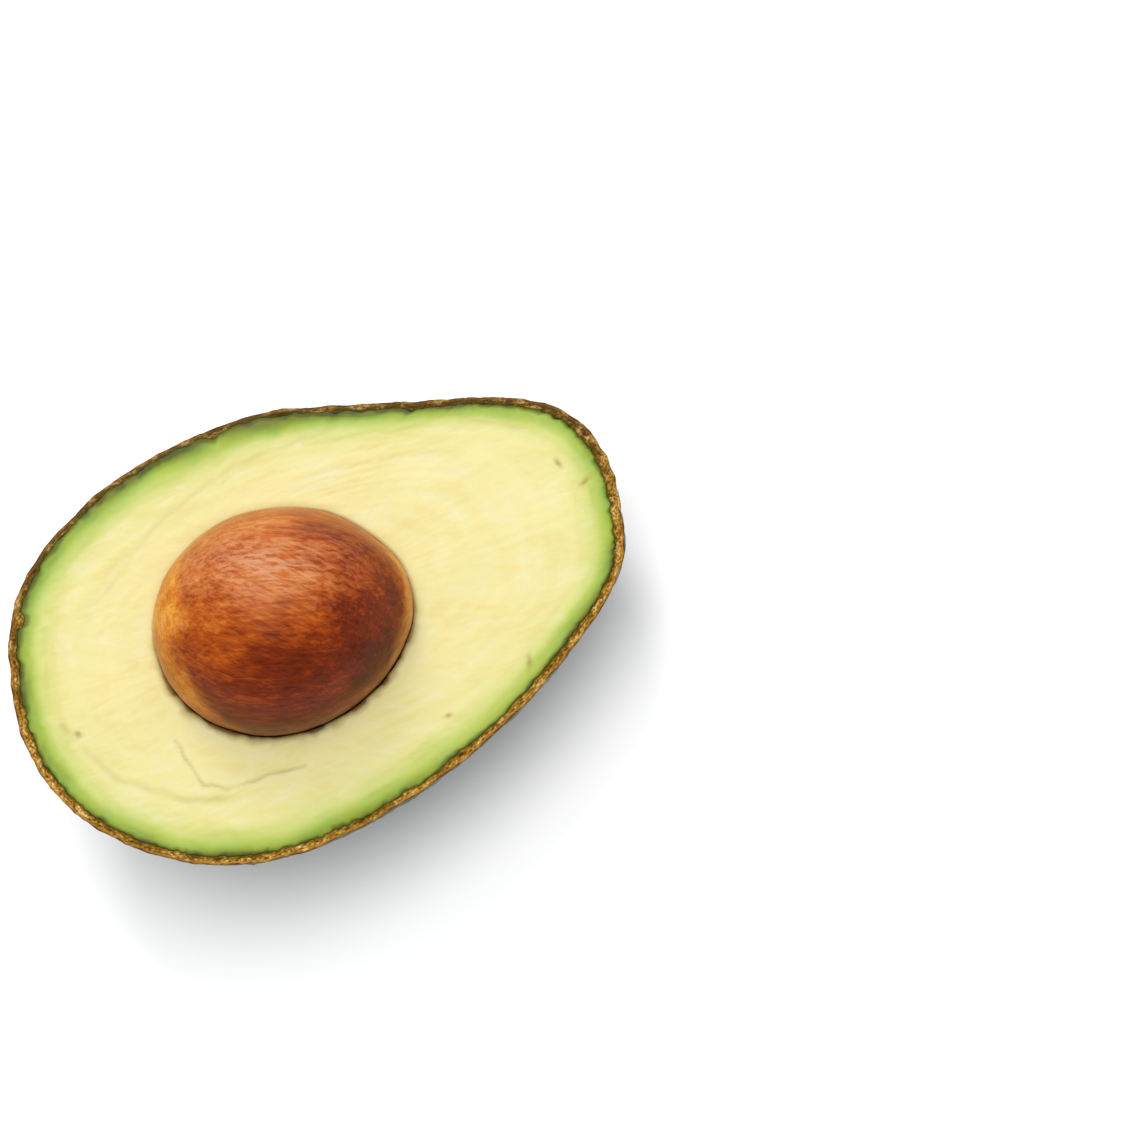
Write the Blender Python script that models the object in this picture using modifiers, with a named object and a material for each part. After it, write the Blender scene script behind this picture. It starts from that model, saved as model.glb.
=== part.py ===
"""Half an avocado, cut lengthwise with its seed left in, lying on a small flat spot of its round back.

Metres, +Z up. The origin is the centre of the flat spot, and the fruit's length runs along X.

The fruit is first described in its own frame, which a parent empty then tilts onto the flat spot:
+X runs along the core to the stem end, +Z points out of the cut face, and the origin is on the
cut face at mid-length.
"""

import math

import bmesh
import bpy
import numpy as np
from mathutils import Euler, Matrix, Vector

# The fruit
LENGTH = 0.108  # blossom end to stem end
MID_WIDTH = 0.069  # across the cut face at mid-length
MID_DEPTH = 0.0345  # from the core to the back at mid-length
TAPER = 0.254  # how fast the fruit narrows towards the stem
FULLNESS = 0.058  # extra girth at both ends
SHOULDER = 0.163  # extra girth at the stem end, taken from the blossom end
BEND = 0.0014  # sideways bow of the core, one way at each end
BEND_TURNS = 0.375  # turns of the bow's wave from mid-length to an end
CORE_DEPTH = 0.0005  # from the cut face down to the core

# Lumps and hollows round the cut: the angle from the stem end, seen on the face, the height and
# the reach. Angles are those of the unit sphere that the fruit's surface is shaped from.
LUMPS = (
    (math.radians(20), 0.0010, math.radians(11)),
    (math.radians(54), -0.0006, math.radians(9)),
    (math.radians(84), 0.0012, math.radians(8)),
    (math.radians(118), -0.0009, math.radians(12)),
    (math.radians(147), 0.0007, math.radians(9)),
    (math.radians(164), -0.0005, math.radians(9)),
    (math.radians(-125), 0.0006, math.radians(16)),
    (math.radians(-50), -0.0006, math.radians(11)),
    (math.radians(-25), 0.0004, math.radians(8)),
    (math.radians(-12), -0.0008, math.radians(8)),
)

# Peel and flesh
PEEL = 0.0019  # thickness of the peel
FIT_GAP = 0.0003  # clearance between two pieces that touch

# The seed
SEED_LENGTH = 0.044
SEED_WIDTH = 0.038
SEED_THICKNESS = 0.037
SEED_TAPER = 0.06  # how fast the seed narrows towards the stem
SEED_ALONG = -0.0058  # of its centre, from mid-length
SEED_ASIDE = 0.0021  # of its centre, from the fruit's middle line
SEED_RISE = 0.0005  # of its centre, over the cut face
SEED_TURN = math.radians(-8)  # of its long axis, in the cut face

# The woody stub in its dimple, on the back of the stem end
STEM_ALONG = 0.955  # share of the half length
STEM_RADIUS = 0.0038
STEM_FOOT = 0.85  # radius of the stub's foot, as a share of its top's
STEM_PROUD = 0.0012  # over the skin around the dimple
DIMPLE_RADIUS = 0.0056
DIMPLE_DEPTH = 0.0012
STEM_EDGE = 0.0006  # rounding of the stub's edges

# How it lies
ROLL = math.radians(12)  # the cut face leans to the front, -Y
PITCH = math.radians(6)  # and to the stem end, where the weight is
FLAT_DEPTH = 0.0009  # of the skin that the flat spot takes off

# Facets
RIBS = 48  # round the fruit
RINGS = 32  # along the fruit
SEED_RIBS = 36
SEED_RINGS = 22
STEM_SIDES = 24

PEEL_COLOUR = (0.030, 0.035, 0.018, 1.0)
FLESH_COLOUR = (0.80, 0.78, 0.38, 1.0)
SEED_COLOUR = (0.30, 0.09, 0.025, 1.0)
STEM_COLOUR = (0.45, 0.30, 0.13, 1.0)


def clear_scene():
    for thing in list(bpy.data.objects):
        bpy.data.objects.remove(thing, do_unlink=True)


def new_collection(name):
    group = bpy.data.collections.new(name)
    bpy.context.scene.collection.children.link(group)
    return group


def material(name, colour, roughness, metallic=0.0):
    made = bpy.data.materials.new(name)
    made.use_nodes = True
    shader = made.node_tree.nodes["Principled BSDF"]
    shader.inputs["Base Color"].default_value = colour
    shader.inputs["Roughness"].default_value = roughness
    shader.inputs["Metallic"].default_value = metallic
    made.diffuse_color = colour
    return made


def girth(along):
    """The fruit's girth against an ellipsoid's, at a share of the half length from -1 to 1."""
    return 1 - TAPER * along + FULLNESS * along**2 + SHOULDER * along**3


def lumpiness(along, side, up):
    """How far the lumps lift the fruit's surface at a point of the unit sphere."""
    lift = 0.0
    for angle, height, reach in LUMPS:
        apart = (along - math.cos(angle)) ** 2 + (side - math.sin(angle)) ** 2 + up**2
        lift = lift + height * np.exp(-apart / (2 * reach**2))
    return lift


def fruit_point(along, side, up, inset):
    """A point of the fruit's surface, or of one inset from it, for a point of the unit sphere."""
    bow = -BEND * np.sin(2 * np.pi * BEND_TURNS * along)
    lift = lumpiness(along, side, up) - inset
    return (
        (LENGTH / 2 + lift) * along,
        (MID_WIDTH / 2 * girth(along) + lift) * side + bow,
        (MID_DEPTH * girth(along) + lift) * up - CORE_DEPTH,
    )


def seed_point(along, side, up, margin):
    """A point of the seed's surface, or of one a margin outside it, about the seed's centre."""
    narrowing = 1 - SEED_TAPER * along
    return (
        (SEED_LENGTH / 2 + margin) * along,
        (SEED_WIDTH / 2 * narrowing + margin) * side,
        (SEED_THICKNESS / 2 * narrowing + margin) * up,
    )


def dimple_point(along, side, up, margin):
    """A point of the flattened ball that hollows the dimple, about the stem's seat."""
    return (
        (DIMPLE_RADIUS + margin) * along,
        (DIMPLE_RADIUS + margin) * side,
        (DIMPLE_DEPTH + margin) * up,
    )


def new_object(name, mesh, group, parent=None, is_cutter=False):
    thing = bpy.data.objects.new(name, mesh)
    group.objects.link(thing)
    thing.parent = parent
    if is_cutter:
        thing.hide_render = True
        thing.display_type = "WIRE"
    return thing


def ovoid(name, shape, offset, ribs, rings):
    """A closed sphere mesh with its poles on X, moved onto a surface by its shape function."""
    ball = bmesh.new()
    bmesh.ops.create_uvsphere(ball, u_segments=ribs, v_segments=rings, radius=1.0)
    half_step = Matrix.Rotation(math.pi / ribs, 3, "Z")
    for vertex in ball.verts:
        side, up, along = half_step @ vertex.co
        vertex.co = shape(along, side, up, offset)
    mesh = bpy.data.meshes.new(name)
    ball.to_mesh(mesh)
    ball.free()
    mesh.shade_smooth()
    return mesh


def block(name, low, high):
    """A box between two corners."""
    low, high = Vector(low), Vector(high)
    placing = Matrix.Translation((low + high) / 2) @ Matrix.Diagonal((*(high - low), 1.0))
    box = bmesh.new()
    bmesh.ops.create_cube(box, size=1.0, matrix=placing)
    mesh = bpy.data.meshes.new(name)
    box.to_mesh(mesh)
    box.free()
    return mesh


def cut(thing, cutter):
    """Takes the cutter's shape out of a piece."""
    boolean = thing.modifiers.new("cut_" + cutter.name, "BOOLEAN")
    boolean.operation = "DIFFERENCE"
    boolean.solver = "EXACT"
    boolean.object = cutter


def seed_placing():
    """Moves the seed from its own centre into the fruit's frame."""
    centre = Matrix.Translation((SEED_ALONG, SEED_ASIDE, SEED_RISE))
    return centre @ Matrix.Rotation(SEED_TURN, 4, "Z")


def stem_placing():
    """The frame of the stem's seat: its origin on the skin, its Z along the skin's outward normal."""
    step = 1e-4
    drop = math.sqrt(1 - STEM_ALONG**2)
    seat = Vector(fruit_point(STEM_ALONG, 0.0, -drop, 0.0))
    ahead = STEM_ALONG + step
    beyond = Vector(fruit_point(ahead, 0.0, -math.sqrt(1 - ahead**2), 0.0))
    tangent = beyond - seat
    normal = Vector((tangent.z, 0.0, -tangent.x)).normalized()
    return Matrix.Translation(seat) @ normal.to_track_quat("Z", "Y").to_matrix().to_4x4()


def lowest_point(tilt):
    """The point of the fruit's back that is lowest once the fruit is tilted, in the fruit's frame."""
    along = np.linspace(-1, 1, 1001)[:, None]
    angle = np.linspace(-math.pi / 2, math.pi / 2, 1001)[None, :]
    ring = np.sqrt(1 - along**2)
    shape = np.broadcast(along, angle).shape
    places = fruit_point(along, ring * np.sin(angle), -ring * np.cos(angle), 0.0)
    points = np.stack([np.broadcast_to(part, shape) for part in places], axis=-1).reshape(-1, 3)
    heights = points @ np.array(tilt.row[2])
    return Vector(points[np.argmin(heights)])


def lying_frame():
    """The empty that carries the fruit's frame, tilted, with the flat spot's centre at the origin."""
    tilt = Euler((ROLL, PITCH, 0.0)).to_matrix()
    raised = -(tilt @ lowest_point(tilt)) - Vector((0, 0, FLAT_DEPTH))
    carrier = bpy.data.objects.new("avocado_half", None)
    carrier.matrix_world = Matrix.Translation(raised) @ tilt.to_4x4()
    return carrier


def make_cutters(group, carrier):
    """The shapes that are taken out of the pieces, by name."""
    reach = LENGTH
    meshes = {
        "other_half": block("other_half", (-reach, -reach, 0), (reach, reach, reach)),
        "inside_of_peel": ovoid("inside_of_peel", fruit_point, PEEL, RIBS, RINGS),
        "seed_hollow": ovoid("seed_hollow", seed_point, FIT_GAP, SEED_RIBS, SEED_RINGS),
        "stem_dimple": ovoid("stem_dimple", dimple_point, 0.0, STEM_SIDES, STEM_SIDES // 2),
        "ground": block("ground", (-reach, -reach, -reach), (reach, reach, 0)),
    }
    cutters = {
        name: new_object(name, mesh, group, carrier, is_cutter=True) for name, mesh in meshes.items()
    }
    cutters["ground"].parent = None
    cutters["seed_hollow"].matrix_local = seed_placing()
    cutters["stem_dimple"].matrix_local = stem_placing()
    return cutters


def make_peel(group, carrier, cutters):
    peel = new_object("peel", ovoid("peel", fruit_point, 0.0, RIBS, RINGS), group, carrier)
    for name in ("other_half", "inside_of_peel", "stem_dimple", "ground"):
        cut(peel, cutters[name])
    peel.data.materials.append(material("peel", PEEL_COLOUR, roughness=0.45))


def make_flesh(group, carrier, cutters):
    flesh = new_object("flesh", ovoid("flesh", fruit_point, PEEL + FIT_GAP, RIBS, RINGS), group, carrier)
    for name in ("other_half", "seed_hollow"):
        cut(flesh, cutters[name])
    flesh.data.materials.append(material("flesh", FLESH_COLOUR, roughness=0.4))


def make_seed(group, carrier):
    seed = new_object("seed", ovoid("seed", seed_point, 0.0, SEED_RIBS, SEED_RINGS), group, carrier)
    seed.matrix_local = seed_placing()
    seed.data.materials.append(material("seed", SEED_COLOUR, roughness=0.4))


def make_stem_button(group, carrier):
    foot_radius = STEM_RADIUS * STEM_FOOT
    floor_under_rim = -DIMPLE_DEPTH * math.sqrt(1 - (foot_radius / DIMPLE_RADIUS) ** 2)
    foot = floor_under_rim + FIT_GAP
    height = STEM_PROUD - foot
    stub = bmesh.new()
    bmesh.ops.create_cone(
        stub,
        segments=STEM_SIDES,
        radius1=foot_radius,
        radius2=STEM_RADIUS,
        depth=height,
        cap_ends=True,
    )
    bmesh.ops.translate(stub, verts=stub.verts, vec=(0, 0, foot + height / 2))
    mesh = bpy.data.meshes.new("stem_button")
    stub.to_mesh(mesh)
    stub.free()
    mesh.shade_smooth()
    mesh.set_sharp_from_angle(angle=math.radians(40))
    button = new_object("stem_button", mesh, group, carrier)
    button.matrix_local = stem_placing()
    bevel = button.modifiers.new("rounded_edges", "BEVEL")
    bevel.width = STEM_EDGE
    bevel.segments = 2
    button.data.materials.append(material("stem_button", STEM_COLOUR, roughness=0.8))


def main():
    clear_scene()
    pieces = new_collection("avocado_half_pieces")
    guides = new_collection("cutters")
    carrier = lying_frame()
    pieces.objects.link(carrier)
    cutters = make_cutters(guides, carrier)
    make_peel(pieces, carrier, cutters)
    make_flesh(pieces, carrier, cutters)
    make_seed(pieces, carrier)
    make_stem_button(pieces, carrier)


main()
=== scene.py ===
"""Half an avocado with its seed, lying on a pale floor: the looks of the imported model.

Metres. Each piece is made in the fruit's own frame (+X along the core to the stem end, +Z out of
the cut face, origin on the face at mid-length) and then placed as the solid that it stands for.
"""

import itertools
import math

import bmesh
import bpy
import numpy as np
from mathutils import Euler, Matrix, Vector


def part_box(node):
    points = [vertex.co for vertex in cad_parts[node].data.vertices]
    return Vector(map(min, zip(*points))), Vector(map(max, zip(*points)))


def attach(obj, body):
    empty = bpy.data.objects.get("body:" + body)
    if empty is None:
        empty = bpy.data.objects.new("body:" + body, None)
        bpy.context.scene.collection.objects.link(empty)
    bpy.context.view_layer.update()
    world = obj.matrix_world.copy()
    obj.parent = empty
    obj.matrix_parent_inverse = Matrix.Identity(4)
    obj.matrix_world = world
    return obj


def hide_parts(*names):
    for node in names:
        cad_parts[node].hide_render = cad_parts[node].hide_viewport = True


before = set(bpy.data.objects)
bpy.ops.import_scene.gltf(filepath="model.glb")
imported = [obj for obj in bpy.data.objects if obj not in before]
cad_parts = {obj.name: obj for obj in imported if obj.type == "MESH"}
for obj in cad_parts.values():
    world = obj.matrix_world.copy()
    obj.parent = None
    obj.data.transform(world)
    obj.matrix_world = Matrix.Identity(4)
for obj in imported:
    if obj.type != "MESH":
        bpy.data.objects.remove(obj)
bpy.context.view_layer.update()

# The fruit, as the solids have it
LENGTH = 0.108
MID_WIDTH = 0.069
MID_DEPTH = 0.0345
TAPER = 0.254
FULLNESS = 0.058
SHOULDER = 0.163
BEND = 0.0014
BEND_TURNS = 0.375
CORE_DEPTH = 0.0005
LUMPS = (
    (math.radians(20), 0.0010, math.radians(11)),
    (math.radians(54), -0.0006, math.radians(9)),
    (math.radians(84), 0.0012, math.radians(8)),
    (math.radians(118), -0.0009, math.radians(12)),
    (math.radians(147), 0.0007, math.radians(9)),
    (math.radians(164), -0.0005, math.radians(9)),
    (math.radians(-125), 0.0006, math.radians(16)),
    (math.radians(-50), -0.0006, math.radians(11)),
    (math.radians(-25), 0.0004, math.radians(8)),
    (math.radians(-12), -0.0008, math.radians(8)),
)
SEED_LENGTH = 0.044
SEED_WIDTH = 0.038
SEED_THICKNESS = 0.037
SEED_TAPER = 0.06
SEED_ALONG = -0.0058
SEED_ASIDE = 0.0021
SEED_RISE = 0.0005
SEED_TURN = math.radians(-8)
STEM_ALONG = 0.955
STEM_RADIUS = 0.0038
STEM_PROUD = 0.0012
DIMPLE_RADIUS = 0.0056
DIMPLE_DEPTH = 0.0012
ROLL = math.radians(12)
PITCH = math.radians(6)
FLAT_DEPTH = 0.0009

MM = 0.001
OWN_PLACE = "own_place"  # the attribute with each vertex's place in the piece's own frame
GRAIN_TURN = math.radians(-27.5)  # of the seed's fine grain, from the fruit's length
GRAIN = np.array((math.cos(GRAIN_TURN), math.sin(GRAIN_TURN), 0.0))
CROSS_GRAIN = np.array((-math.sin(GRAIN_TURN), math.cos(GRAIN_TURN), 0.0))
FAR = 20.0  # in mm, for vertices whose distance to something has no effect


# ---------------------------------------------------------------- noise

def hashed(place, seed):
    """Repeatable numbers from 0 to 1 for whole-number places, one for each row."""
    place = place.astype(np.int64)
    mixed = place[:, 0] * 73856093 ^ place[:, 1] * 19349663 ^ place[:, 2] * 83492791 ^ seed * 2654435
    mixed = mixed & 0xFFFFFFFF
    for _ in range(2):
        mixed = ((mixed >> 16) ^ mixed) * 0x45D9F3B & 0xFFFFFFFF
    mixed = (mixed >> 16) ^ mixed
    return mixed / 0xFFFFFFFF


def smooth_noise(points, size, seed):
    """Gradient noise of about -1 to 1. The size of its features is one number, or one each way."""
    cell = points / np.asarray(size)
    base = np.floor(cell)
    inside = cell - base
    ease = inside**3 * (inside * (inside * 6 - 15) + 10)
    total = np.zeros(len(points))
    for corner in itertools.product((0, 1), repeat=3):
        corner = np.array(corner)
        place = base + corner
        apart = inside - corner
        lean = sum((hashed(place, seed + axis) * 2 - 1) * apart[:, axis] for axis in range(3))
        weight = np.prod(np.where(corner == 1, ease, 1 - ease), axis=1)
        total += weight * lean
    return total * 1.6


def smoothstep(low, high, value):
    share = np.clip((value - low) / (high - low), 0.0, 1.0)
    return share * share * (3 - 2 * share)


# ---------------------------------------------------------------- the fruit's shape

def girth(along):
    return 1 - TAPER * along + FULLNESS * along**2 + SHOULDER * along**3


def lumpiness(way):
    lift = 0.0
    for angle, height, reach in LUMPS:
        centre = np.array((math.cos(angle), math.sin(angle), 0.0))
        apart = np.sum((way - centre) ** 2, axis=-1)
        lift = lift + height * np.exp(-apart / (2 * reach**2))
    return lift


def fruit_point(way, inset):
    """Points of the fruit's surface, or of one inset from it, for directions of the unit sphere."""
    along, side, up = way[..., 0], way[..., 1], way[..., 2]
    bow = -BEND * np.sin(2 * np.pi * BEND_TURNS * along)
    lift = lumpiness(way) - inset
    return np.stack(
        (
            (LENGTH / 2 + lift) * along,
            (MID_WIDTH / 2 * girth(along) + lift) * side + bow,
            (MID_DEPTH * girth(along) + lift) * up - CORE_DEPTH,
        ),
        axis=-1,
    )


def bowl_way(angle, slope):
    """Unit directions at an angle round the bowl and a slope from its lowest point."""
    return np.stack(
        (np.cos(angle) * np.sin(slope), np.sin(angle) * np.sin(slope), -np.cos(slope)), axis=-1
    )


def rim_slope(angle):
    """The slope at which the fruit's surface meets the cut face."""
    slope = np.full_like(angle, math.pi / 2)
    for _ in range(4):
        way = bowl_way(angle, slope)
        depth = MID_DEPTH * girth(way[..., 0]) + lumpiness(way)
        slope = math.pi / 2 + np.arcsin(CORE_DEPTH / depth)
    return slope


def stem_placing():
    """The frame of the stem's seat: its origin on the skin, its Z along the skin's outward normal."""
    step = 1e-4
    ways = [np.array((a, 0.0, -math.sqrt(1 - a**2))) for a in (STEM_ALONG, STEM_ALONG + step)]
    seat, beyond = (Vector(fruit_point(way, 0.0)) for way in ways)
    tangent = beyond - seat
    normal = Vector((tangent.z, 0.0, -tangent.x)).normalized()
    return Matrix.Translation(seat) @ normal.to_track_quat("Z", "Y").to_matrix().to_4x4()


def seed_placing():
    centre = Matrix.Translation((SEED_ALONG, SEED_ASIDE, SEED_RISE))
    return centre @ Matrix.Rotation(SEED_TURN, 4, "Z")


def lying_place():
    """The transform that lays the fruit's frame on the floor, as the solids lie."""
    tilt = Euler((ROLL, PITCH, 0.0)).to_matrix()
    along = np.linspace(-1, 1, 1001)[:, None]
    angle = np.linspace(-math.pi / 2, math.pi / 2, 1001)[None, :]
    ring = np.sqrt(1 - along**2)
    shape = np.broadcast(along, angle).shape
    way = (along, ring * np.sin(angle), -ring * np.cos(angle))
    way = np.stack([np.broadcast_to(part, shape) for part in way], axis=-1).reshape(-1, 3)
    points = fruit_point(way, 0.0)
    lowest = Vector(points[np.argmin(points @ np.array(tilt.row[2]))])
    return Matrix.Translation(-(tilt @ lowest) - Vector((0, 0, FLAT_DEPTH))) @ tilt.to_4x4()


LYING = lying_place()
STEM_PLACE = stem_placing()
SEED_PLACE = seed_placing()


def moved(points, matrix):
    """Points taken through a transform."""
    matrix = np.array(matrix)
    return points @ matrix[:3, :3].T + matrix[:3, 3]


# ---------------------------------------------------------------- meshes from rings

def strip(first, second):
    """The faces between two rings of vertex numbers, one of which may hold half as many or one."""
    if len(first) < len(second):
        return [face[::-1] for face in strip(second, first)]
    ahead = np.roll(first, -1)
    if len(second) == 1:
        return [(a, b, second[0]) for a, b in zip(first, ahead)]
    beyond = np.roll(second, -1)
    if len(first) == len(second):
        return list(zip(first, ahead, beyond, second))
    faces = []
    for a, b, c, near, far in zip(first[::2], first[1::2], np.roll(first, -2)[::2], second, beyond):
        faces += [(a, b, near), (b, far, near), (b, c, far)]
    return faces


def ring_body(rings):
    """The angle and ring number of each vertex of a stack of rings, and the faces between them."""
    counts = [count for _, _, count in rings]
    starts = np.concatenate(([0], np.cumsum(counts)))
    numbers = [np.arange(a, b) for a, b in zip(starts[:-1], starts[1:])]
    faces = []
    for first, second in zip(numbers[:-1], numbers[1:]):
        faces += strip(first, second)
    angle = np.concatenate([np.arange(count) * (2 * math.pi / count) for count in counts])
    ring = np.repeat(np.arange(len(rings)), counts)
    return angle, ring, faces


def make_piece(name, points, faces, attributes, place=None):
    """A smooth-shaded object from points in the fruit's frame, placed as the fruit lies."""
    mesh = bpy.data.meshes.new(name)
    placed = moved(points, LYING if place is None else LYING @ place)
    mesh.from_pydata(placed.tolist(), [], [tuple(int(n) for n in face) for face in faces])
    mesh.update()
    solid = bmesh.new()
    solid.from_mesh(mesh)
    if solid.calc_volume(signed=True) < 0:
        bmesh.ops.reverse_faces(solid, faces=solid.faces)
        solid.to_mesh(mesh)
    solid.free()
    for key, values in attributes.items():
        layer = mesh.attributes.new(key, "FLOAT", "POINT")
        layer.data.foreach_set("value", np.asarray(values, dtype=np.float32))
    own_places = mesh.attributes.new(OWN_PLACE, "FLOAT_VECTOR", "POINT")
    own_places.data.foreach_set("vector", points.astype(np.float32).ravel())
    mesh.shade_smooth()
    piece = bpy.data.objects.new(name, mesh)
    bpy.context.scene.collection.objects.link(piece)
    return piece


# ---------------------------------------------------------------- relief of the skin

SCABS = 130
SCAB_RADIUS = 0.00075


def scab_fields(points):
    """Rim and pit of the corky scabs: two numbers from 0 to 1 for each point of the skin."""
    random = np.random.default_rng(11)
    angle = random.uniform(0, 2 * math.pi, SCABS)
    slope = np.arccos(random.uniform(0.03, 1.0, SCABS))
    centres = fruit_point(bowl_way(angle, slope), 0.0)
    radii = SCAB_RADIUS * random.uniform(0.55, 1.25, SCABS)
    leans = random.uniform(0.55, 1.0, SCABS)
    wobble = 1 + 0.55 * smooth_noise(points, 0.0011, 301)
    rim = np.zeros(len(points))
    pit = np.zeros(len(points))
    for centre, radius, lean in zip(centres, radii, leans):
        away = points - centre
        apart = np.sqrt(away[:, 0] ** 2 * lean**2 + away[:, 1] ** 2 + away[:, 2] ** 2) * wobble
        rim = np.maximum(rim, np.exp(-(((apart - radius) / (0.38 * radius)) ** 2)))
        pit = np.maximum(pit, 1 - smoothstep(0.35 * radius, 0.85 * radius, apart))
    return rim, pit


def stem_distance(points):
    """Distance from the stem's axis, and angle round it."""
    local = moved(points, STEM_PLACE.inverted())
    return np.hypot(local[:, 0], local[:, 1]), np.arctan2(local[:, 1], local[:, 0])


def skin_relief(points):
    """How far the skin stands proud of the smooth fruit, in metres."""
    long_cells = (0.0085, 0.0042, 0.0042)
    swells = smooth_noise(points, long_cells, 31)
    knobs = smooth_noise(points, (0.0046, 0.0026, 0.0026), 57)
    pebbles = smooth_noise(points, 0.0016, 83)
    relief = 0.55 * MM * (np.abs(swells) * -1.3 + 0.35) + 0.36 * MM * knobs + 0.11 * MM * pebbles
    apart, turn = stem_distance(points)
    folds = np.cos(turn * 19 + 2.2 * np.sin(turn * 2 + 1) + 0.6 * np.sin(turn * 5))
    near_stem = smoothstep(0.0052, 0.008, apart) * (1 - smoothstep(0.010, 0.022, apart))
    calm = smoothstep(0.004, 0.016, apart)
    relief = relief * (0.25 + 0.75 * calm) + 0.28 * MM * folds * near_stem
    collar = np.exp(-(((apart - 0.0066) / 0.0012) ** 2))
    dimple = 1 - smoothstep(0.0040, DIMPLE_RADIUS + 0.0003, apart)
    return relief + 0.25 * MM * collar - DIMPLE_DEPTH * dimple


# ---------------------------------------------------------------- peel and flesh

RIM_COUNT = 1152
# The hidden wall between peel and flesh: share of the way up from the lowest point, and vertices
WALL = ((0.0, 1), (0.05, 36), (0.11, 72), (0.2, 144), (0.32, 144), (0.45, 288), (0.6, 288))
WALL = WALL + ((0.74, 576), (0.86, 576), (0.94, 1152), (0.985, 1152))
SEAM = 0.00001  # half the gap between peel and flesh on the cut face
WALL_GAP = 0.00035  # between them below it
EDGE_RINGS = 20
WALL_INSET = 1.75 * MM  # of the wall from the smooth skin
RIM_CALM = 0.45  # share of the skin's relief that reaches the cut edge
RIM_CIRCLE = 0.42 * LENGTH  # radius of the circle along which the rim's noise is taken


def peel_width(angle):
    """Width of the corky edge at an angle round the cut face, without its ragged line."""
    upper = np.exp(-(((angle - 1.75) / 0.95) ** 2))
    blossom = np.exp(-(((angle - math.pi) / 0.5) ** 2))
    stem = np.exp(-((np.minimum(angle, 2 * math.pi - angle) / 0.50) ** 2))
    return (1.32 - 0.30 * upper + 0.26 * blossom + 0.42 * stem) * MM


def ragged(angle):
    """Width of the corky edge with its ragged inner line, notches and bulges."""
    spot = np.stack((np.cos(angle), np.sin(angle), angle * 0), axis=-1) * RIM_CIRCLE
    wander = 0.26 * smooth_noise(spot, 0.006, 401) + 0.30 * smooth_noise(spot, 0.0022, 409)
    crumbs = 0.20 * smooth_noise(spot, 0.0009, 419)
    bites = smoothstep(0.30, 0.65, smooth_noise(spot, 0.0045, 431)) * 0.8
    return peel_width(angle) + (wander + crumbs + bites) * MM


def edge_outline(angle, inset):
    """Points of the cut face's outline, at an inset from the smooth fruit's."""
    points = fruit_point(bowl_way(angle, rim_slope(angle)), inset)
    points[..., 2] = 0.0
    return points


def outer_edge(angle):
    """The skin's edge on the cut face."""
    smooth = edge_outline(angle, 0.0)
    nicks = MM * (0.13 * smooth_noise(smooth, 0.0030, 211) + 0.08 * smooth_noise(smooth, 0.0010, 223))
    return edge_outline(angle, -skin_relief(smooth) * RIM_CALM - nicks)


def inner_edge(angle, gap):
    """The line where peel and flesh meet on the cut face."""
    return edge_outline(angle, ragged(angle) + gap)


def hidden_wall(angle, share, gap):
    """Points of the hidden wall between peel and flesh."""
    slope = rim_slope(angle) * share
    way = bowl_way(angle, slope)
    return fruit_point(way, WALL_INSET + gap)


def peel_rings():
    rings = [("wall", share, count) for share, count in WALL]
    rings += [("face", n / EDGE_RINGS, RIM_COUNT) for n in range(EDGE_RINGS + 1)]
    rings += [("skin", share, RIM_COUNT) for share in np.linspace(0.994, 0.95, 7)]
    zones = ((0.95, 0.50, 576, 60), (0.50, 0.25, 288, 32), (0.25, 0.12, 144, 16))
    zones = zones + ((0.12, 0.06, 72, 8), (0.06, 0.02, 36, 4))
    for high, low, count, steps in zones:
        rings += [("skin", share, count) for share in np.linspace(high, low, steps + 1)[1:]]
    return rings + [("skin", 0.0, 1)]


def settle(points):
    """Presses what would reach below the floor flat onto it."""
    placed = moved(points, LYING)
    placed[:, 2] = np.maximum(placed[:, 2], 0.0)
    return moved(placed, LYING.inverted())


CORK_STRETCH = 0.55  # of places along the corky edge, whose grains lie along it


def cork_place(angle, from_skin):
    """Places on the corky edge, drawn out along it."""
    reach = RIM_CIRCLE * CORK_STRETCH
    return np.stack((np.cos(angle) * reach, np.sin(angle) * reach, from_skin), axis=-1)


def crumble(places, from_skin):
    """Height of the grains on the corky edge, in metres, for places from cork_place."""
    grains = smooth_noise(places, 0.00042, 503)
    clumps = smooth_noise(places, 0.0010, 509)
    waves = smooth_noise(places, 0.0030, 521)
    inward = smoothstep(0.15 * MM, 0.7 * MM, from_skin)
    return MM * ((0.05 + 0.12 * inward) * grains + (0.08 + 0.16 * inward) * clumps + 0.12 * waves)


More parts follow.
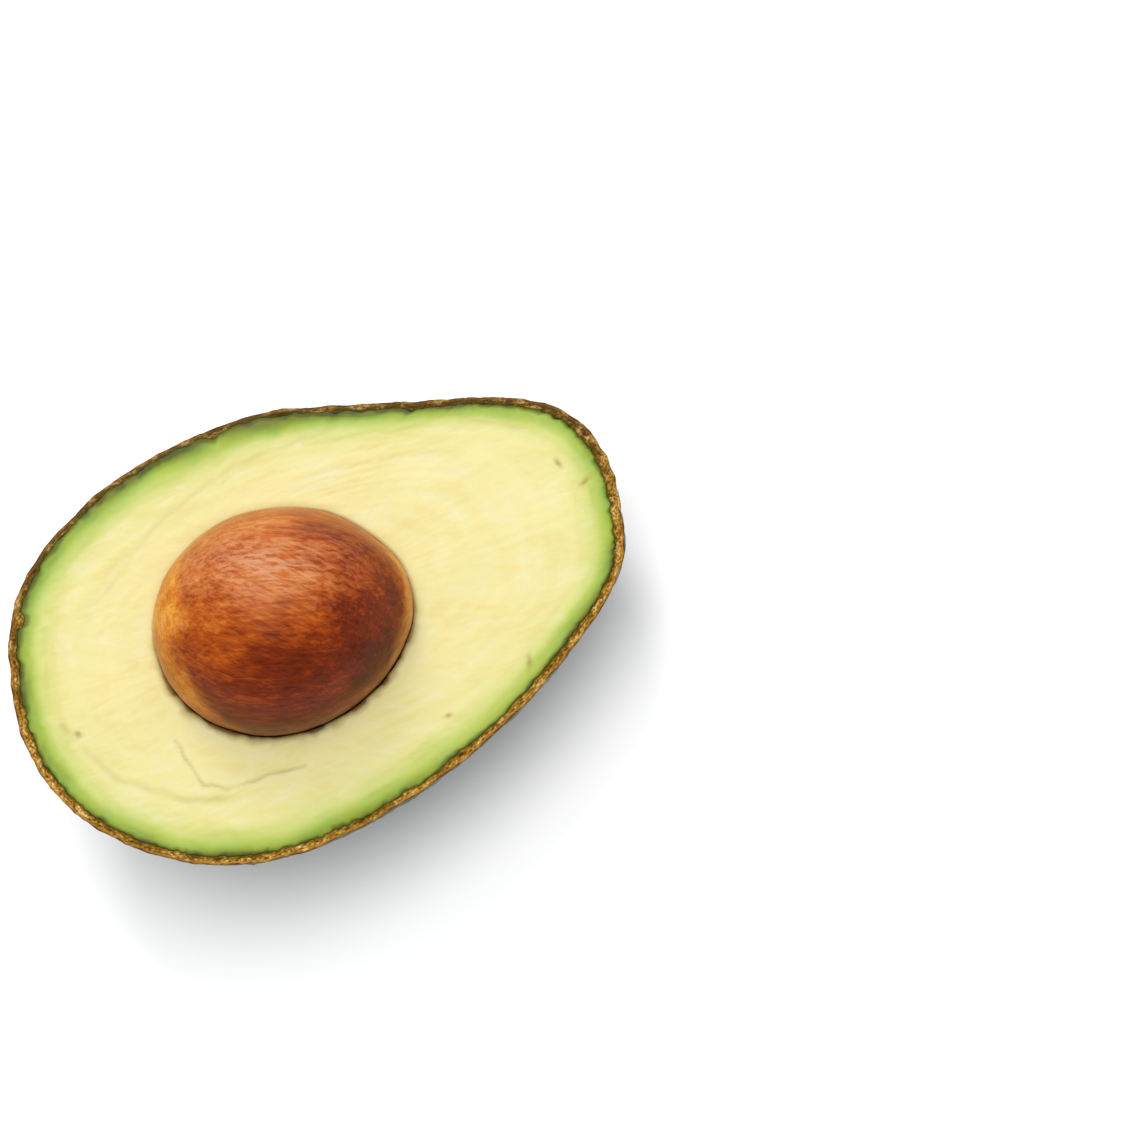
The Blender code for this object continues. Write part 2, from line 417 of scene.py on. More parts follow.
def make_peel():
    rings = peel_rings()
    angle, ring, faces = ring_body(rings)
    zone = np.array([kind for kind, _, _ in rings])[ring]
    share = np.array([value for _, value, _ in rings])[ring]
    points = np.zeros((len(angle), 3))
    wall, face, skin = zone == "wall", zone == "face", zone == "skin"
    points[wall] = hidden_wall(angle[wall], share[wall], -WALL_GAP / 2)

    inner, outer = inner_edge(angle[face], -SEAM), outer_edge(angle[face])
    across = share[face][:, None]
    points[face] = inner * (1 - across) + outer * across
    width = np.linalg.norm(outer - inner, axis=1)
    from_skin = width * (1 - share[face])
    from_flesh = width * share[face]
    lip = np.exp(-from_skin / (0.12 * MM))
    drop = 0.05 * np.exp(-from_flesh / (0.10 * MM))
    places = cork_place(angle[face], from_skin)
    points[face, 2] = crumble(places, from_skin) - MM * (0.18 * lip + drop)

    way = bowl_way(angle[skin], rim_slope(angle[skin]) * share[skin])
    smooth = fruit_point(way, 0.0)
    relief = skin_relief(smooth)
    rim, pit = scab_fields(smooth)
    raised = relief + MM * (0.13 * rim - 0.22 * pit)
    near_cut = smoothstep(0.92, 0.995, share[skin])
    points[skin] = fruit_point(way, -raised * (1 - (1 - RIM_CALM) * near_cut))
    points[skin] = settle(points[skin])

    values = {key: np.zeros(len(angle)) for key in ("relief", "scab_rim", "scab_pit", "stem_apart")}
    values["relief"][skin] = relief / MM
    values["scab_rim"][skin] = rim
    values["scab_pit"][skin] = pit
    values["stem_apart"][skin] = stem_distance(smooth)[0] / MM
    cut = {"from_skin": from_skin / MM, "from_flesh": from_flesh / MM}
    cut.update({"cork_right": places[:, 0], "cork_up": places[:, 1]})
    for key, numbers in cut.items():
        values[key] = np.full(len(angle), FAR)
        values[key][face] = numbers
    peel = make_piece("peel_outside", points, faces, values)
    peel.data.materials.append(skin_material())
    peel.data.materials.append(cork_material())
    first_face, last_face = np.flatnonzero(face)[0], np.flatnonzero(face)[-1]
    for polygon in peel.data.polygons:
        low, high = min(polygon.vertices), max(polygon.vertices)
        polygon.material_index = int(high <= last_face and low >= first_face)
    return peel


FLESH_RINGS = 56
BACK_DEPTH = 2.0  # in mm, of the flesh's back under the skin, for its colour
HOLLOW_DEPTH = 18.0  # the same, of the hollow's surface
# The seed's hollow: share of the way up from its lowest point, and vertices
HOLLOW = ((0.0, 1), (0.06, 36), (0.14, 72), (0.26, 144), (0.4, 288), (0.55, 288))
HOLLOW = HOLLOW + ((0.7, 576), (0.82, 576), (0.91, 1152), (0.96, 1152), (0.985, 1152))


# Flatter and fuller sides of the seed: angle from its long axis, height in mm, reach in degrees
SEED_SIDES = ((30, -1.3, 22), (72, -0.7, 25), (118, -0.8, 20), (-100, 0.35, 30))


def seed_relief(way):
    """Broad unevenness of the seed, in metres, for unit directions in its own frame."""
    lift = 0.30 * smooth_noise(way, 0.75, 601) + 0.14 * smooth_noise(way, 0.33, 613)
    for angle, height, reach in SEED_SIDES:
        centre = np.array((math.cos(math.radians(angle)), math.sin(math.radians(angle)), 0.15))
        apart = np.sum((way - centre) ** 2, axis=-1)
        lift = lift + height * np.exp(-apart / (2 * math.radians(reach) ** 2))
    return MM * lift


def seed_point(way, margin):
    """Points of the seed's surface, or of one a margin outside it, about the seed's centre."""
    narrowing = 1 - SEED_TAPER * way[..., 0]
    half = (
        np.full_like(narrowing, SEED_LENGTH / 2),
        SEED_WIDTH / 2 * narrowing,
        SEED_THICKNESS / 2 * narrowing,
    )
    lift = margin + seed_relief(way.reshape(-1, 3)).reshape(narrowing.shape)
    return np.stack([(size + lift) * way[..., axis] for axis, size in enumerate(half)], axis=-1)


LOOSEST = math.radians(248)  # the angle round the fruit where the seed stands loosest


def loose_side(angle):
    """How far the seed stands loose from the flesh at an angle round the fruit, from 0 to 1."""
    turn = np.abs((angle - LOOSEST + math.pi) % (2 * math.pi) - math.pi)
    return 1 - smoothstep(0.9, 1.7, turn)


def hollow_point(angle, share):
    """Points of the seed's hollow, in the fruit's frame."""
    level = math.pi / 2 - SEED_RISE / (SEED_THICKNESS / 2)
    way = bowl_way(angle - SEED_TURN, np.full_like(angle, level) * share)
    spot = np.stack((np.cos(angle), np.sin(angle), angle * 0), axis=-1) * SEED_WIDTH / 2
    torn = 0.06 * smooth_noise(spot, 0.0011, 701) + 0.12 * smooth_noise(spot, 0.0030, 709)
    loose = loose_side(angle)
    torn = np.maximum(torn, -0.06) * smoothstep(0.6, 1.0, share)
    return moved(seed_point(way, MM * (0.03 + (0.20 + torn) * loose)), SEED_PLACE)


# Creases of the flesh: strength, width and a line of places on the cut face
CREASES = (
    (
        0.66,
        0.00030,
        (
            (-0.0312, -0.0078),
            (-0.0311, -0.0134),
            (-0.0303, -0.0168),
            (-0.0271, -0.0192),
            (-0.0212, -0.0201),
            (-0.0140, -0.0219),
        ),
    ),
    (0.34, 0.00060, ((-0.0469, 0.0026), (-0.0432, -0.0089), (-0.0334, -0.0182), (-0.0265, -0.0213))),
    (0.26, 0.00050, ((0.0100, 0.0262), (0.0220, 0.0215), (0.0345, 0.0190), (0.0450, 0.0105))),
    (0.24, 0.00050, ((-0.0330, 0.0180), (-0.0180, 0.0255), (-0.0020, 0.0285), (0.0160, 0.0262))),
)


def creases(points):
    """The creases, from 0 to their strength at their middle."""
    wander = MM * np.stack([0.35 * smooth_noise(points, 0.003, seed) for seed in (801, 805)], axis=-1)
    flat = points[:, :2] + wander
    faint = np.clip(0.65 + 0.5 * smooth_noise(points, 0.004, 809), 0.1, 1)
    marks = np.zeros(len(points))
    for strength, width, line in CREASES:
        nearest = np.full(len(points), 1.0)
        for start, end in zip(line[:-1], line[1:]):
            start, run = np.array(start), np.array(end) - np.array(start)
            share = np.clip((flat - start) @ run / (run @ run), 0, 1)
            apart = np.linalg.norm(flat - start - share[:, None] * run, axis=1)
            nearest = np.minimum(nearest, apart)
        marks = np.maximum(marks, strength * np.exp(-((nearest / width) ** 2)) * faint)
    return marks


# Small brown ends of veins on the cut face: place, half length, half width, turn in degrees
FLECKS = (
    (0.0464, 0.0037, 0.0009, 0.0004, 95),
    (0.0489, -0.0011, 0.0010, 0.0005, 20),
    (0.0268, -0.0236, 0.0013, 0.0004, 65),
    (0.0108, -0.0253, 0.0006, 0.0003, 0),
    (-0.0452, 0.0003, 0.0007, 0.0004, 120),
)


def flecks(points):
    """The brown ends of veins, from 0 to 1."""
    marks = np.zeros(len(points))
    wobble = 0.25 * MM * smooth_noise(points, 0.0011, 811)
    for x, y, half_length, half_width, turn in FLECKS:
        away = points[:, :2] - np.array((x, y))
        way = np.array((math.cos(math.radians(turn)), math.sin(math.radians(turn))))
        along = away @ way
        aside = away @ np.array((-way[1], way[0])) + wobble
        marks = np.maximum(marks, np.exp(-((along / half_length) ** 2) - (aside / half_width) ** 2))
    return marks


def fibre_space(points):
    """Places on the cut face, measured along and across the fibres that run out from the seed."""
    away = points - np.array((SEED_ALONG, SEED_ASIDE, 0.0))
    turn = np.arctan2(away[:, 1], away[:, 0] * 0.62)
    reach = np.hypot(away[:, 0], away[:, 1])
    return np.stack((np.cos(turn), np.sin(turn), reach / 0.03), axis=-1)


def rim_bands(angle, from_peel):
    """Soft bands that follow the rim, about -1 to 1, from an angle and a distance to the peel."""
    sweep = angle + 0.10 * np.sin(3 * angle + 1) + from_peel * 9.0
    spot = np.stack((np.cos(sweep) / 0.42, np.sin(sweep) / 0.42, from_peel / 0.0023), axis=-1)
    fine = np.stack((np.cos(sweep) / 0.16, np.sin(sweep) / 0.16, from_peel / 0.0011), axis=-1)
    return 0.75 * smooth_noise(spot, 1.0, 921) + 0.35 * smooth_noise(fine, 1.0, 929)


def flesh_relief(points):
    """Unevenness of the flesh's cut face, in metres."""
    waves = smooth_noise(points, (0.024, 0.011, 0.02), 901)
    fibres = smooth_noise(fibre_space(points), (0.05, 0.05, 0.9), 907)
    strokes = points @ np.array((math.cos(0.5), -math.sin(0.5), 0.0))
    knife = smooth_noise(np.stack((strokes, strokes * 0, strokes * 0), axis=-1), 0.0021, 911)
    return MM * (0.20 * waves + 0.026 * fibres + 0.015 * knife)


def make_flesh():
    rings = [("hollow", share, count) for share, count in HOLLOW]
    rings += [("face", n / FLESH_RINGS, RIM_COUNT) for n in range(FLESH_RINGS + 1)]
    rings += [("back", share, count) for share, count in WALL[::-1]]
    angle, ring, faces = ring_body(rings)
    zone = np.array([kind for kind, _, _ in rings])[ring]
    share = np.array([value for _, value, _ in rings])[ring]
    points = np.zeros((len(angle), 3))
    hollow, face, back = zone == "hollow", zone == "face", zone == "back"
    points[hollow] = hollow_point(angle[hollow], share[hollow])
    points[back] = hidden_wall(angle[back], share[back], WALL_GAP / 2)

    inner = hollow_point(angle[face], np.ones(face.sum()))
    outer = inner_edge(angle[face], SEAM)
    across = (1 - (1 - share[face]) ** 1.15)[:, None]
    points[face] = inner * (1 - across) + outer * across
    from_peel = np.linalg.norm(outer - points[face], axis=1)
    from_seed = np.linalg.norm(points[face] - inner, axis=1)
    rounded = 0.06 * np.exp(-from_peel / (0.20 * MM))
    turned_in = (0.04 + 0.20 * loose_side(angle[face])) * np.exp(-from_seed / (0.25 * MM))
    lifted = 0.16 * np.exp(-((from_seed / (1.4 * MM) - 1) ** 2))
    creased = creases(points[face])
    settled = smoothstep(0.0, 2.0 * MM, np.minimum(from_peel, from_seed))
    bands = rim_bands(angle[face], from_peel)
    upper_side = smoothstep(-0.2, 0.7, np.sin(angle[face]))
    ridges = 0.09 * MM * bands * (0.4 + 0.9 * upper_side)
    flat = (flesh_relief(points[face]) + ridges) * (0.35 + 0.65 * settled)
    points[face, 2] = flat + MM * (lifted - rounded - turned_in - 0.10 * creased)

    outline = edge_outline(angle[face], 0.0)
    values = {key: np.zeros(len(angle)) for key in ("from_skin", "from_seed", "stain", "loose")}
    values["from_skin"][back] = BACK_DEPTH
    values["from_skin"][hollow] = HOLLOW_DEPTH
    values["from_skin"][face] = np.linalg.norm(outline - points[face], axis=1) / MM
    values["from_seed"][back] = FAR
    values["from_seed"][face] = from_seed / MM
    values["from_seam"] = np.full(len(angle), FAR)
    values["from_seam"][face] = from_peel / MM
    values["from_seam"][back] = 0.0
    values["stain"][face] = np.maximum(flecks(points[face]), creased)
    values["loose"] = loose_side(angle)
    values["bands"] = np.zeros(len(angle))
    values["bands"][face] = bands
    flesh = make_piece("flesh_half", points, faces, values)
    flesh.data.materials.append(flesh_material())
    return flesh


# ---------------------------------------------------------------- seed and stem

SEED_DETAIL = 7  # subdivisions of the ball that the seed is shaped from
GRAIN_LENGTH = 0.0075
GRAIN_WIDTH = 0.0011
GRAIN_DROOP = 9.0  # bend of the grain, in metres across for each square metre along


def grain_space(points):
    """Places on the seed, stretched along its grain, which droops a little towards its ends."""
    along = points @ GRAIN
    cross = points @ CROSS_GRAIN + GRAIN_DROOP * along**2
    return np.stack((along / GRAIN_LENGTH, cross / GRAIN_WIDTH, points[:, 2] / GRAIN_WIDTH), axis=-1)


def facing(turn, middle, reach):
    """How nearly an angle faces a middle angle, from 0 to 1. The last two are in degrees."""
    apart = (turn - math.radians(middle) + math.pi) % (2 * math.pi) - math.pi
    return np.exp(-((apart / math.radians(reach)) ** 2))


def make_seed():
    ball = bmesh.new()
    bmesh.ops.create_icosphere(ball, subdivisions=SEED_DETAIL, radius=1.0)
    ball.verts.ensure_lookup_table()
    way = np.array([vertex.co for vertex in ball.verts])
    faces = [[vertex.index for vertex in face.verts] for face in ball.faces]
    ball.free()
    smooth = moved(seed_point(way, 0.0), Matrix.Rotation(SEED_TURN, 4, "Z"))
    grain = smooth_noise(grain_space(smooth), 1.0, 1009)
    dents = smooth_noise(smooth, 0.0028, 1013)
    lift = MM * (0.045 * grain + 0.05 * dents)
    points = moved(seed_point(way, lift), Matrix.Rotation(SEED_TURN, 4, "Z"))

    half = SEED_WIDTH / 2
    right = smooth @ GRAIN / half
    upper = smooth @ CROSS_GRAIN / half
    height = smooth[:, 2] / half
    wander = 0.10 * smooth_noise(smooth, 0.008, 1021) + 0.06 * smooth_noise(smooth, 0.0025, 1031)
    turn = np.arctan2(upper, right)
    left = facing(turn, 178, 34)
    low_left = facing(turn, 222, 26)
    far_right = facing(turn, 8, 42)
    bare = 0.06 + 0.60 * left + 0.36 * low_left + 0.22 * far_right
    depth_of_gold = 0.10 + 0.90 * np.maximum(left, 0.8 * low_left) + 0.80 * far_right
    gold = smoothstep(-0.12, 0.12, bare + wander - height) * np.clip(depth_of_gold, 0, 1)
    # Painted shade: darker towards the lower side of the view, as if lit from above, together with
    # the seed's own deeper mahogany there.
    shade_and_dark_tone = smoothstep(0.55, -0.75, upper + wander * 2) * smoothstep(0.1, 0.7, height + 0.3)
    shade_and_dark_tone = shade_and_dark_tone * (1 - 0.40 * facing(turn, 200, 42))
    # Painted shade along the seed's lower edge, where it meets the flesh.
    foot = (1 - smoothstep(0.02, 0.34, height + wander)) * facing(turn, 292, 58)
    # Painted highlight: a paler patch on the upper middle where the light glances off the coat.
    painted_highlight = np.exp(-(((right + 0.10) / 0.55) ** 2) - ((upper - 0.36) / 0.27) ** 2)
    shadowed = smoothstep(0.15, 0.85, right + 0.35 * upper + wander) * smoothstep(0.0, 0.5, height)
    values = {"gold": gold, "shade_and_dark_tone": shade_and_dark_tone, "foot": foot, "painted_highlight": painted_highlight, "shadowed": shadowed}
    centre = Matrix.Translation(SEED_PLACE.translation)
    seed = make_piece("seed_stone", points, faces, values, centre)
    seed.data.materials.append(seed_material())
    return seed


STEM_COUNT = 192
STEM_FOOT_DEPTH = 0.00045  # of the stub's foot under the smooth skin
STUB_SHARE = 0.93  # of the solid's radius, which leaves room for the bark's unevenness


def stem_profile():
    """Radius and height of each ring of the stub, from its foot to the middle of its top."""
    foot, top = -STEM_FOOT_DEPTH, STEM_PROUD
    sides = [(0.0, foot), (0.55, foot), (0.82, foot)]
    sides += [(0.86 + 0.14 * t**0.5, foot + (top - foot) * 0.82 * t) for t in np.linspace(0, 1, 10)]
    for a in (0.4, 0.8, 1.2):
        sides.append((1 - 0.10 * (1 - math.cos(a)), top - 0.00035 * (1 - math.sin(a))))
    flat = [(share, top) for share in np.linspace(0.88, 0.06, 15)]
    return sides + flat + [(0.0, top)]


def make_stem():
    profile = stem_profile()
    rings = [("ring", 0.0, 1 if radius == 0 else STEM_COUNT) for radius, _ in profile]
    angle, ring, faces = ring_body(rings)
    radius = np.array([r for r, _ in profile])[ring]
    height = np.array([h for _, h in profile])[ring]
    oval = 1 + 0.07 * np.cos(2 * angle) + 0.03 * np.cos(3 * angle + 1)
    flat = np.stack((np.cos(angle) * radius, np.sin(angle) * radius, height / STEM_RADIUS), axis=-1)
    bark = 0.05 * smooth_noise(flat, 0.3, 1103) + 0.035 * smooth_noise(flat, (0.12, 0.12, 1.0), 1109)
    reach = STEM_RADIUS * radius * oval * STUB_SHARE * (1 + bark)
    points = np.stack((np.cos(angle) * reach, np.sin(angle) * reach, height), axis=-1)
    on_top = smoothstep(0.2 * MM, STEM_PROUD - 0.0002, height)
    rings_in_wood = 0.10 * np.cos(radius * 21 + 1.5 * smooth_noise(flat, 0.5, 1117))
    turn = angle + 0.25 * smooth_noise(flat, 0.4, 1123)
    split = np.exp(-((np.sin(turn * 1.5 + 0.8) / 0.10) ** 2)) * smoothstep(0.15, 0.4, radius)
    pit = np.exp(-((np.hypot(points[:, 0] - 0.0006, points[:, 1] + 0.0003) / 0.0007) ** 2))
    rough = 0.14 * smooth_noise(flat, 0.22, 1129)
    points[:, 2] += MM * on_top * (rings_in_wood + rough - 0.35 * split - 0.40 * pit + 0.10)
    # Painted shade in the splits and the pit, with the wood's darker tone there.
    shade_and_dark_tone = np.maximum(split, pit) * on_top
    values = {"split": shade_and_dark_tone, "wood_ring": rings_in_wood * 10, "reach": radius}
    stem = make_piece("stem_stub", points, faces, values, STEM_PLACE)
    stem.data.materials.append(stem_material())
    return stem


# ---------------------------------------------------------------- materials

def new_material(name):
    made = bpy.data.materials.new(name)
    made.use_nodes = True
    return made, made.node_tree, made.node_tree.nodes["Principled BSDF"]


def add(tree, kind, inputs, **settings):
    """A node with its settings and its inputs, each a value or the socket that feeds it."""
    node = tree.nodes.new(kind)
    for key, value in settings.items():
        setattr(node, key, value)
    for key, value in inputs.items():
        if isinstance(value, bpy.types.NodeSocket):
            tree.links.new(value, node.inputs[key])
        else:
            node.inputs[key].default_value = value
    return node


def place_on(tree, stretch=1.0, turn=0.0):
    """The piece's own coordinates, for patterns drawn out along a direction turned about Z."""
    source = add(tree, "ShaderNodeAttribute", {}, attribute_name=OWN_PLACE).outputs["Vector"]
    inputs = {"Vector": source, "Scale": (stretch, 1.0, 1.0), "Rotation": (0.0, 0.0, turn)}
    return add(tree, "ShaderNodeMapping", inputs, vector_type="TEXTURE").outputs["Vector"]


def noise_of(vector, size, detail=3.0, roughness=0.5, distortion=0.0):
    """Noise from 0 to 1 with features of the given size in metres."""
    inputs = {
        "Vector": vector,
        "Scale": 1 / size,
        "Detail": detail,
        "Roughness": roughness,
        "Distortion": distortion,
    }
    return add(vector.id_data, "ShaderNodeTexNoise", inputs).outputs[0]


def attribute(tree, name):
    return add(tree, "ShaderNodeAttribute", {}, attribute_name=name).outputs["Fac"]


def worked(operation, first, second, clamp=False):
    """A sum, product or the like of a socket and a socket or number."""
    inputs = {0: first, 1: second}
    node = add(first.id_data, "ShaderNodeMath", inputs, operation=operation, use_clamp=clamp)
    return node.outputs[0]


def plus(first, second, clamp=False):
    return worked("ADD", first, second, clamp)


def minus(first, second):
    return worked("SUBTRACT", first, second)


def times(first, second):
    return worked("MULTIPLY", first, second)


def spread(value, low, high, to_low=0.0, to_high=1.0):
    """A value's range, eased and moved to another range."""
    inputs = {"Value": value, 1: low, 2: high, 3: to_low, 4: to_high}
    node = add(value.id_data, "ShaderNodeMapRange", inputs, interpolation_type="SMOOTHSTEP")
    return node.outputs[0]


def mixed(tree, share, first, second, mode="MIX"):
    """A mix of two colours by a share from 0 to 1."""
    node = tree.nodes.new("ShaderNodeMix")
    node.data_type = "RGBA"
    node.blend_type = mode
    for index, value in ((0, share), (6, first), (7, second)):
        if isinstance(value, bpy.types.NodeSocket):
            tree.links.new(value, node.inputs[index])
        else:
            node.inputs[index].default_value = value
    return node.outputs[2]


def ramp(value, stops):
    """Colours along a value, from a list of places and colours."""
    node = add(value.id_data, "ShaderNodeValToRGB", {"Fac": value})
    band = node.color_ramp
    while len(band.elements) < len(stops):
        band.elements.new(1.0)
    for element, (place, colour) in zip(band.elements, stops):
        element.position = place
        element.color = colour
    return node.outputs["Color"]


def bump(height, distance, strength=1.0, under=None):
    inputs = {"Height": height, "Distance": distance, "Strength": strength}
    if under is not None:
        inputs["Normal"] = under
    return add(height.id_data, "ShaderNodeBump", inputs).outputs["Normal"]


def shade(red, green, blue, brightness=0.64):
    """A linear colour from how it looks in full white light, on a scale of 0 to 255."""
    linear = []
    for part in (red, green, blue):
        part = part / 255
        linear.append(part / 12.92 if part <= 0.04045 else ((part + 0.055) / 1.055) ** 2.4)
    return (*(part * brightness for part in linear), 1.0)


DOT_SPACING = 0.0026


def skin_material():
    """Dark green by patch and height, with painted sheen that makes raised bumps and some patches
    paler purple-grey, light dots, corky scabs, painted shade in the dimple round the stem and a paler
    stem end.
    """
    made, tree, shader = new_material("avocado_skin")
    fruit = place_on(tree)
    relief = attribute(tree, "relief")
    patches = noise_of(fruit, 0.014, detail=4.0, roughness=0.6)
    mottles = noise_of(fruit, 0.0021, detail=4.0, roughness=0.65)
    greens = noise_of(fruit, 0.0075, detail=2.0, roughness=0.5)
    # Painted sheen: raised bumps turn lighter and purple-grey while hollows stay darker green; the
    # purple-grey end of the ramp is partly painted sheen, partly the skin's own bloom.
    tone = plus(times(relief, 0.22), 0.02)
    tone = plus(tone, times(patches, 0.78))
    tone = plus(tone, times(mottles, 0.30), clamp=True)
    colour = ramp(
        tone,
        (
            (0.34, shade(12, 16, 2)),
            (0.46, shade(34, 42, 6)),
            (0.55, shade(52, 58, 16)),
            (0.64, shade(68, 66, 36)),
            (0.78, shade(88, 80, 66)),
        ),
    )
    colour = mixed(tree, spread(greens, 0.50, 0.68, 0.0, 0.75), colour, shade(44, 62, 4))
    inputs = {"Vector": fruit, "Scale": 1 / DOT_SPACING, "Randomness": 1.0}
    cells = add(tree, "ShaderNodeTexVoronoi", inputs)
    size = add(tree, "ShaderNodeSeparateColor", {"Color": cells.outputs["Color"]}).outputs["Red"]
    edge = spread(size, 0.05, 1.0, 0.08, 0.20)
    inside = minus(edge, cells.outputs["Distance"])
    dots = spread(inside, 0.0, 0.06)
    speckle = noise_of(fruit, 0.0004, detail=2.0)
    colour = mixed(tree, times(dots, 0.85), colour, shade(164, 152, 52))
    scab_rim, scab_pit = attribute(tree, "scab_rim"), attribute(tree, "scab_pit")
    ragged_rim = times(scab_rim, spread(speckle, 0.3, 0.6, 0.35, 1.0))
    colour = mixed(tree, times(ragged_rim, 0.60), colour, shade(140, 92, 60))
    colour = mixed(tree, times(scab_pit, 0.75), colour, shade(46, 24, 16))
    near_stem = spread(attribute(tree, "stem_apart"), 6.2, 8.4, 1.0, 0.0)
    # Painted shade in the dimple round the stem, where the stub sits in its hollow.
    dimple_shade = spread(attribute(tree, "stem_apart"), 4.6, 5.9, 1.0, 0.0)
    colour = mixed(tree, times(near_stem, 0.45), colour, shade(122, 128, 92))
    colour = mixed(tree, times(dimple_shade, 0.9), colour, shade(38, 28, 18))
    tree.links.new(colour, shader.inputs["Base Color"])
    gloss = spread(mottles, 0.3, 0.7, 0.28, 0.42)
    gloss = plus(gloss, times(scab_rim, 0.25))
    tree.links.new(gloss, shader.inputs["Roughness"])
    fine = noise_of(fruit, 0.0008, detail=4.0, roughness=0.65)
    rough = bump(fine, 0.00026, 0.9)
    beads = bump(dots, 0.00012, 0.8, under=rough)
    tree.links.new(beads, shader.inputs["Normal"])
    shader.inputs["Specular IOR Level"].default_value = 0.50
    return made


def cork_material():
    """Brown grains drawn out along the edge, darker on the upper side, olive by the flesh."""
    made, tree, shader = new_material("cut_peel")
    fruit = place_on(tree)
    from_skin, from_flesh = attribute(tree, "from_skin"), attribute(tree, "from_flesh")
    depth = times(from_skin, MM)
    along_parts = {"X": attribute(tree, "cork_right"), "Y": attribute(tree, "cork_up"), "Z": depth}
    along_edge = add(tree, "ShaderNodeCombineXYZ", along_parts).outputs["Vector"]
    grains = noise_of(along_edge, 0.00032, detail=4.0, roughness=0.65)
    clumps = noise_of(along_edge, 0.0014, detail=3.0, roughness=0.6)
    tone = plus(times(grains, 0.72), times(clumps, 0.42))
    colour = ramp(
        tone,
        (
            (0.42, shade(52, 28, 0)),
            (0.50, shade(118, 76, 6)),
            (0.56, shade(170, 120, 22)),
            (0.62, shade(206, 154, 58)),
            (0.70, shade(250, 216, 148)),
        ),
    )
    sides = add(tree, "ShaderNodeSeparateXYZ", {"Vector": fruit}).outputs
    side = plus(sides["Y"], times(sides["X"], 0.22))
    upper = spread(side, -0.004, 0.026)
    shaded = times(upper, spread(clumps, 0.38, 0.62, 0.95, 0.45))
    colour = mixed(tree, shaded, colour, shade(72, 50, 14))
    wander = times(minus(clumps, 0.5), 1.2)
    ridge = spread(plus(from_skin, wander), 0.30, 0.62, 1.0, 0.0)
    lit = times(ridge, spread(side, -0.012, 0.012, 0.60, 0.25))
    colour = mixed(tree, lit, colour, shade(190, 132, 44))
    olive = spread(plus(from_flesh, wander), 0.05, 0.60, 1.0, 0.0)
    colour = mixed(tree, times(olive, 0.72), colour, shade(92, 78, 6))
    rind = spread(plus(from_skin, wander), 0.06, 0.22, 1.0, 0.0)
    colour = mixed(tree, times(rind, 0.75), colour, shade(84, 50, 22))
    tree.links.new(colour, shader.inputs["Base Color"])
    shader.inputs["Roughness"].default_value = 0.7
    shader.inputs["Specular IOR Level"].default_value = 0.12
    fine = bump(grains, 0.00022, 0.8)
    tree.links.new(fine, shader.inputs["Normal"])
    return made


WARMER = (0.97, 0.90, 0.74, 1.0)  # tint of the warmer streaks in the flesh
DARKER = (0.36, 0.36, 0.03, 1.0)  # tint of the darkest green, beside the peel
COOLER = (0.90, 0.99, 1.28, 1.0)  # tint of the cooler patches of green
DEEPER = (0.86, 0.80, 0.55, 1.0)  # tint of the green along the lower side
FLESH_RUN = 20.0  # in mm, from the skin to the last colour of the flesh


